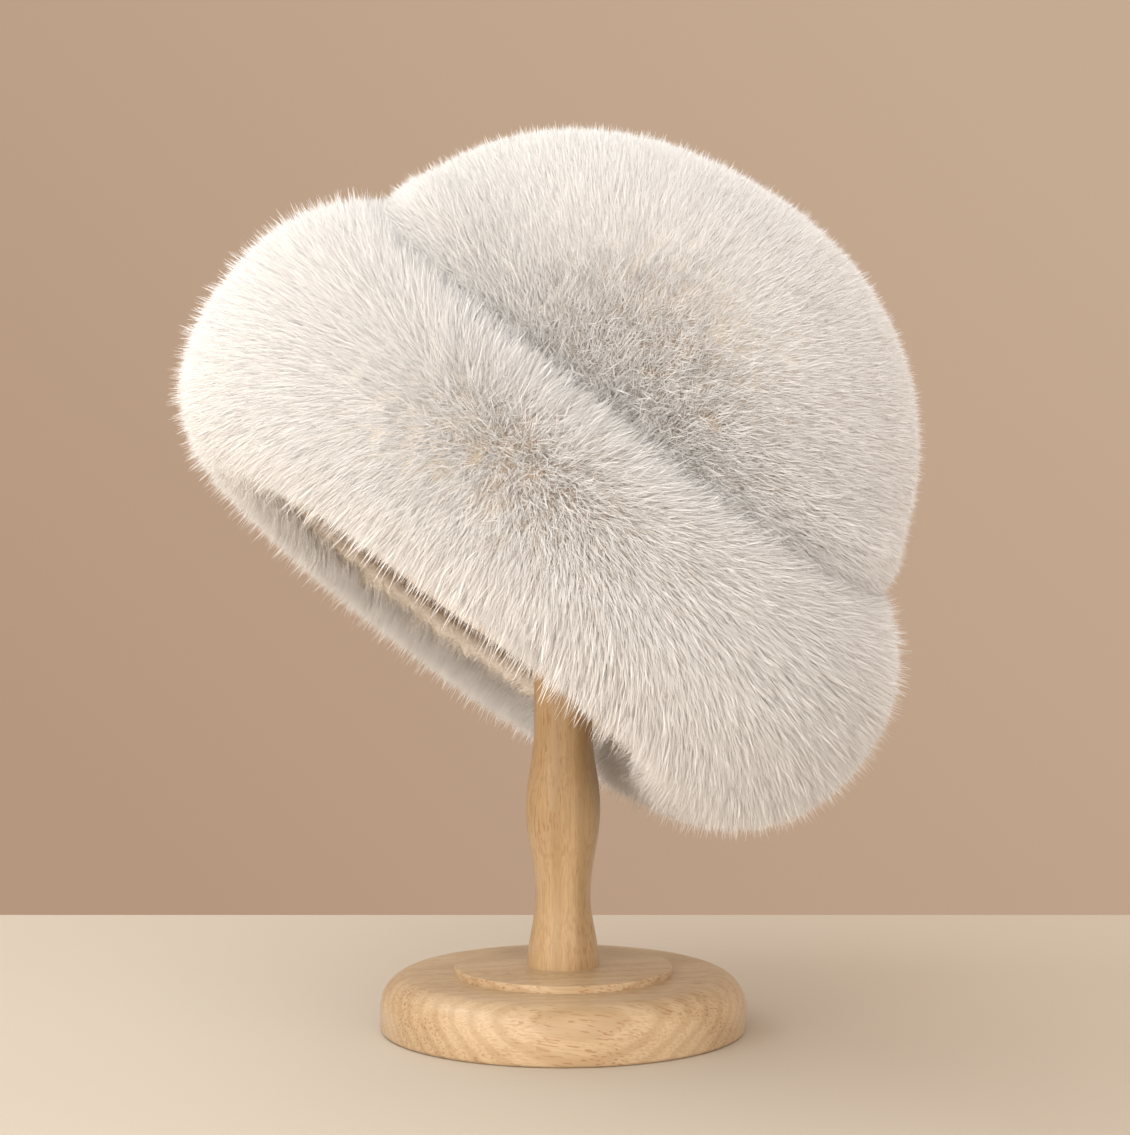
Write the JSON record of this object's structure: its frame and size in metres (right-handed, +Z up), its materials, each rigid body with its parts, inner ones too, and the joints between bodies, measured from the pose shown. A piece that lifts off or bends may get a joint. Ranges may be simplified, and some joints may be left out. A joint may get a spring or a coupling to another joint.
{
  "type": "fur bucket hat on a turned wooden hat stand",
  "caption": "Domed fur bucket hat with a deep fluffy rolled cuff, worn tilted on a turned wooden stand with a round stepped base.",
  "frame": {"origin": "middle of the stand's underside, on the surface that it stands on", "axes": "+Z up along the stem, +X towards the side that the crown leans to, +Y away from the side that the picture shows"},
  "size_m": [0.2762, 0.296, 0.3351],
  "materials": {
    "wood": "satin varnish",
    "lining_cloth": "smooth beige satin",
    "pelt": "suede side of the pelt",
    "wadding": "matte wadding",
    "white_fur": "dense white mink-like fur"
  },
  "bodies": {
    "root": {"stand_base": "wood", "stand_stem": "wood", "stand_head": "wood", "lining": "lining_cloth", "crown_pelt": "pelt", "cuff_roll": "wadding", "crown_fur": "white_fur", "cuff_fur": "white_fur"}
  },
  "joints": []
}
